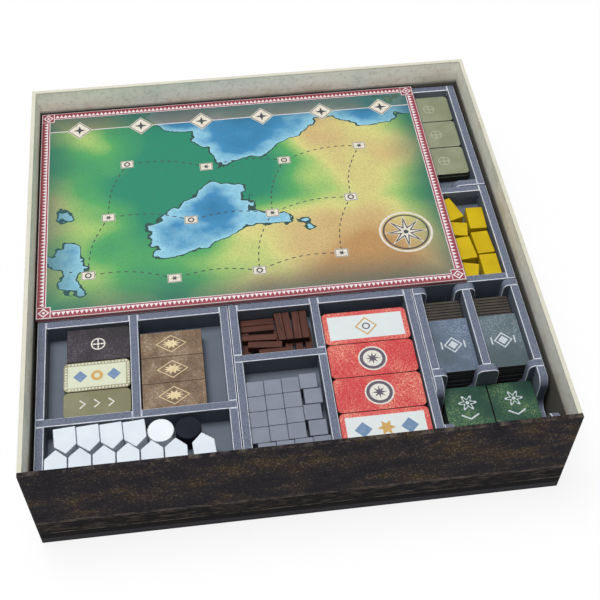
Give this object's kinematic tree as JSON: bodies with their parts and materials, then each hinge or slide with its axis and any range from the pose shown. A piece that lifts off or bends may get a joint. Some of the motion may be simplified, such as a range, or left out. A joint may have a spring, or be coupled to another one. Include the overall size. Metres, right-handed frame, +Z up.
{
  "type": "board game box",
  "caption": "Open square rigid box whose slot-together foam trays hold card tiles, tokens and wooden pieces in compartments, with a flat playing board on top",
  "frame": {"origin": "middle of the underside of the box", "axes": "+X right, +Y to the back, +Z up"},
  "size_m": [0.297, 0.297, 0.075],
  "materials": {
    "greyboard": "matte",
    "dark_print": "satin",
    "parchment_print": "matte",
    "foam_sheet": "matte",
    "board_print": "satin",
    "dark_card": "matte",
    "cream_card": "matte",
    "olive_card": "matte",
    "brown_card": "matte",
    "pale_token_card": "satin",
    "red_token_card": "satin",
    "slate_card": "matte",
    "moss_card": "matte",
    "white_wood": "satin",
    "black_wood": "satin",
    "brown_wood": "satin",
    "grey_wood": "satin",
    "yellow_wood": "satin"
  },
  "bodies": {
    "box": {"box_floor_board": "greyboard", "box_wall_boards": "greyboard", "bottom_sheet": "dark_print", "outer_wrap": "dark_print", "inner_liner": "parchment_print"},
    "lower_front_tray": {"lower_front_floor": "foam_sheet", "lower_front_walls": "foam_sheet", "lower_front_divider": "foam_sheet"},
    "front_left_tray": {"front_left_floor": "foam_sheet", "front_left_walls": "foam_sheet", "front_left_dividers": "foam_sheet"},
    "front_middle_tray": {"front_middle_floor": "foam_sheet", "front_middle_walls": "foam_sheet", "front_middle_dividers": "foam_sheet"},
    "front_right_tray": {"front_right_floor": "foam_sheet", "front_right_side_walls": "foam_sheet", "front_right_back_wall": "foam_sheet", "front_right_middle_wall": "foam_sheet", "front_right_front_wall": "foam_sheet", "front_right_divider": "foam_sheet"},
    "lower_right_tray": {"lower_right_floor": "foam_sheet", "lower_right_walls": "foam_sheet"},
    "middle_right_tray": {"middle_right_floor": "foam_sheet", "middle_right_walls": "foam_sheet"},
    "rear_right_tray": {"rear_right_floor": "foam_sheet", "rear_right_walls": "foam_sheet", "rear_right_notched_wall": "foam_sheet"},
    "rear_tray": {"rear_tray_floor": "foam_sheet", "rear_tray_walls": "foam_sheet", "rear_tray_dividers": "foam_sheet"},
    "playing_board": {"playing_board": "board_print"},
    "dark_tile_pile": {"dark_tile_pile": "dark_card"},
    "bordered_token_pile": {"bordered_token_pile": "cream_card"},
    "olive_tile_pile": {"olive_tile_pile": "olive_card"},
    "brown_tile_pile_1": {"brown_tile_pile_1": "brown_card"},
    "brown_tile_pile_2": {"brown_tile_pile_2": "brown_card"},
    "brown_tile_pile_3": {"brown_tile_pile_3": "brown_card"},
    "house_row_front": {"house_row_front": "white_wood"},
    "house_row_rear": {"house_row_rear": "white_wood"},
    "white_disc": {"white_disc": "white_wood"},
    "black_disc": {"black_disc": "black_wood"},
    "wooden_sticks": {"wooden_sticks": "brown_wood"},
    "grey_cubes": {"grey_cubes": "grey_wood"},
    "large_token_pile_1": {"large_token_pile_1": "pale_token_card"},
    "large_token_pile_2": {"large_token_pile_2": "red_token_card"},
    "large_token_pile_3": {"large_token_pile_3": "red_token_card"},
    "large_token_pile_4": {"large_token_pile_4": "pale_token_card"},
    "slate_pile_left": {"slate_pile_left": "slate_card"},
    "slate_pile_right": {"slate_pile_right": "slate_card"},
    "upright_tiles_left": {"upright_tiles_left": "slate_card"},
    "upright_tiles_right": {"upright_tiles_right": "slate_card"},
    "moss_pile_left": {"moss_pile_left": "moss_card"},
    "moss_pile_right": {"moss_pile_right": "moss_card"},
    "rear_olive_pile_1": {"rear_olive_pile_1": "olive_card"},
    "rear_olive_pile_2": {"rear_olive_pile_2": "olive_card"},
    "rear_olive_pile_3": {"rear_olive_pile_3": "olive_card"},
    "yellow_bars": {"yellow_bars": "yellow_wood"}
  },
  "joints": [
    {"name": "lower_front_tray_lift", "type": "slide", "parent": "box", "child": "lower_front_tray", "axis": [0, 0, 1], "range_m": [0, 0.08]},
    {"name": "front_left_tray_lift", "type": "slide", "parent": "lower_front_tray", "child": "front_left_tray", "axis": [0, 0, 1], "range_m": [0, 0.045]},
    {"name": "front_middle_tray_lift", "type": "slide", "parent": "lower_front_tray", "child": "front_middle_tray", "axis": [0, 0, 1], "range_m": [0, 0.045]},
    {"name": "front_right_tray_lift", "type": "slide", "parent": "box", "child": "front_right_tray", "axis": [0, 0, 1], "range_m": [0, 0.08]},
    {"name": "lower_right_tray_lift", "type": "slide", "parent": "box", "child": "lower_right_tray", "axis": [0, 0, 1], "range_m": [0, 0.09]},
    {"name": "middle_right_tray_lift", "type": "slide", "parent": "lower_right_tray", "child": "middle_right_tray", "axis": [0, 0, 1], "range_m": [0, 0.05]},
    {"name": "rear_right_tray_lift", "type": "slide", "parent": "lower_right_tray", "child": "rear_right_tray", "axis": [0, 0, 1], "range_m": [0, 0.05]},
    {"name": "rear_tray_lift", "type": "slide", "parent": "box", "child": "rear_tray", "axis": [0, 0, 1], "range_m": [0, 0.08]},
    {"name": "playing_board_lift", "type": "slide", "parent": "rear_tray", "child": "playing_board", "axis": [0, 0, 1], "range_m": [0, 0.2]},
    {"name": "dark_tile_pile_lift", "type": "slide", "parent": "front_left_tray", "child": "dark_tile_pile", "axis": [0, 0, 1], "range_m": [0, 0.04]},
    {"name": "bordered_token_pile_lift", "type": "slide", "parent": "front_left_tray", "child": "bordered_token_pile", "axis": [0, 0, 1], "range_m": [0, 0.04]},
    {"name": "olive_tile_pile_lift", "type": "slide", "parent": "front_left_tray", "child": "olive_tile_pile", "axis": [0, 0, 1], "range_m": [0, 0.04]},
    {"name": "brown_tile_pile_1_lift", "type": "slide", "parent": "front_left_tray", "child": "brown_tile_pile_1", "axis": [0, 0, 1], "range_m": [0, 0.04]},
    {"name": "brown_tile_pile_2_lift", "type": "slide", "parent": "front_left_tray", "child": "brown_tile_pile_2", "axis": [0, 0, 1], "range_m": [0, 0.04]},
    {"name": "brown_tile_pile_3_lift", "type": "slide", "parent": "front_left_tray", "child": "brown_tile_pile_3", "axis": [0, 0, 1], "range_m": [0, 0.04]},
    {"name": "house_row_front_lift", "type": "slide", "parent": "front_left_tray", "child": "house_row_front", "axis": [0, 0, 1], "range_m": [0, 0.04]},
    {"name": "house_row_rear_lift", "type": "slide", "parent": "front_left_tray", "child": "house_row_rear", "axis": [0, 0, 1], "range_m": [0, 0.04]},
    {"name": "white_disc_lift", "type": "slide", "parent": "front_left_tray", "child": "white_disc", "axis": [0, 0, 1], "range_m": [0, 0.04]},
    {"name": "black_disc_lift", "type": "slide", "parent": "front_left_tray", "child": "black_disc", "axis": [0, 0, 1], "range_m": [0, 0.04]},
    {"name": "wooden_sticks_lift", "type": "slide", "parent": "front_middle_tray", "child": "wooden_sticks", "axis": [0, 0, 1], "range_m": [0, 0.04]},
    {"name": "grey_cubes_lift", "type": "slide", "parent": "front_middle_tray", "child": "grey_cubes", "axis": [0, 0, 1], "range_m": [0, 0.04]},
    {"name": "large_token_pile_1_lift", "type": "slide", "parent": "front_middle_tray", "child": "large_token_pile_1", "axis": [0, 0, 1], "range_m": [0, 0.04]},
    {"name": "large_token_pile_2_lift", "type": "slide", "parent": "front_middle_tray", "child": "large_token_pile_2", "axis": [0, 0, 1], "range_m": [0, 0.04]},
    {"name": "large_token_pile_3_lift", "type": "slide", "parent": "front_middle_tray", "child": "large_token_pile_3", "axis": [0, 0, 1], "range_m": [0, 0.04]},
    {"name": "large_token_pile_4_lift", "type": "slide", "parent": "front_middle_tray", "child": "large_token_pile_4", "axis": [0, 0, 1], "range_m": [0, 0.04]},
    {"name": "slate_pile_left_lift", "type": "slide", "parent": "front_right_tray", "child": "slate_pile_left", "axis": [0, 0, 1], "range_m": [0, 0.07]},
    {"name": "slate_pile_right_lift", "type": "slide", "parent": "front_right_tray", "child": "slate_pile_right", "axis": [0, 0, 1], "range_m": [0, 0.07]},
    {"name": "upright_tiles_left_lift", "type": "slide", "parent": "front_right_tray", "child": "upright_tiles_left", "axis": [0, 0, 1], "range_m": [0, 0.07]},
    {"name": "upright_tiles_right_lift", "type": "slide", "parent": "front_right_tray", "child": "upright_tiles_right", "axis": [0, 0, 1], "range_m": [0, 0.07]},
    {"name": "moss_pile_left_lift", "type": "slide", "parent": "front_right_tray", "child": "moss_pile_left", "axis": [0, 0, 1], "range_m": [0, 0.07]},
    {"name": "moss_pile_right_lift", "type": "slide", "parent": "front_right_tray", "child": "moss_pile_right", "axis": [0, 0, 1], "range_m": [0, 0.07]},
    {"name": "rear_olive_pile_1_lift", "type": "slide", "parent": "rear_right_tray", "child": "rear_olive_pile_1", "axis": [0, 0, 1], "range_m": [0, 0.03]},
    {"name": "rear_olive_pile_2_lift", "type": "slide", "parent": "rear_right_tray", "child": "rear_olive_pile_2", "axis": [0, 0, 1], "range_m": [0, 0.03]},
    {"name": "rear_olive_pile_3_lift", "type": "slide", "parent": "rear_right_tray", "child": "rear_olive_pile_3", "axis": [0, 0, 1], "range_m": [0, 0.03]},
    {"name": "yellow_bars_lift", "type": "slide", "parent": "middle_right_tray", "child": "yellow_bars", "axis": [0, 0, 1], "range_m": [0, 0.03]}
  ],
  "couplings": [
    {"joint": "lower_right_tray_lift", "follows": "playing_board_lift", "ratio": 0.45},
    {"joint": "middle_right_tray_lift", "follows": "playing_board_lift", "ratio": 0.25},
    {"joint": "rear_right_tray_lift", "follows": "playing_board_lift", "ratio": 0.25},
    {"joint": "rear_olive_pile_1_lift", "follows": "playing_board_lift", "ratio": 0.15},
    {"joint": "rear_olive_pile_2_lift", "follows": "playing_board_lift", "ratio": 0.15},
    {"joint": "rear_olive_pile_3_lift", "follows": "playing_board_lift", "ratio": 0.15},
    {"joint": "yellow_bars_lift", "follows": "playing_board_lift", "ratio": 0.15}
  ]
}
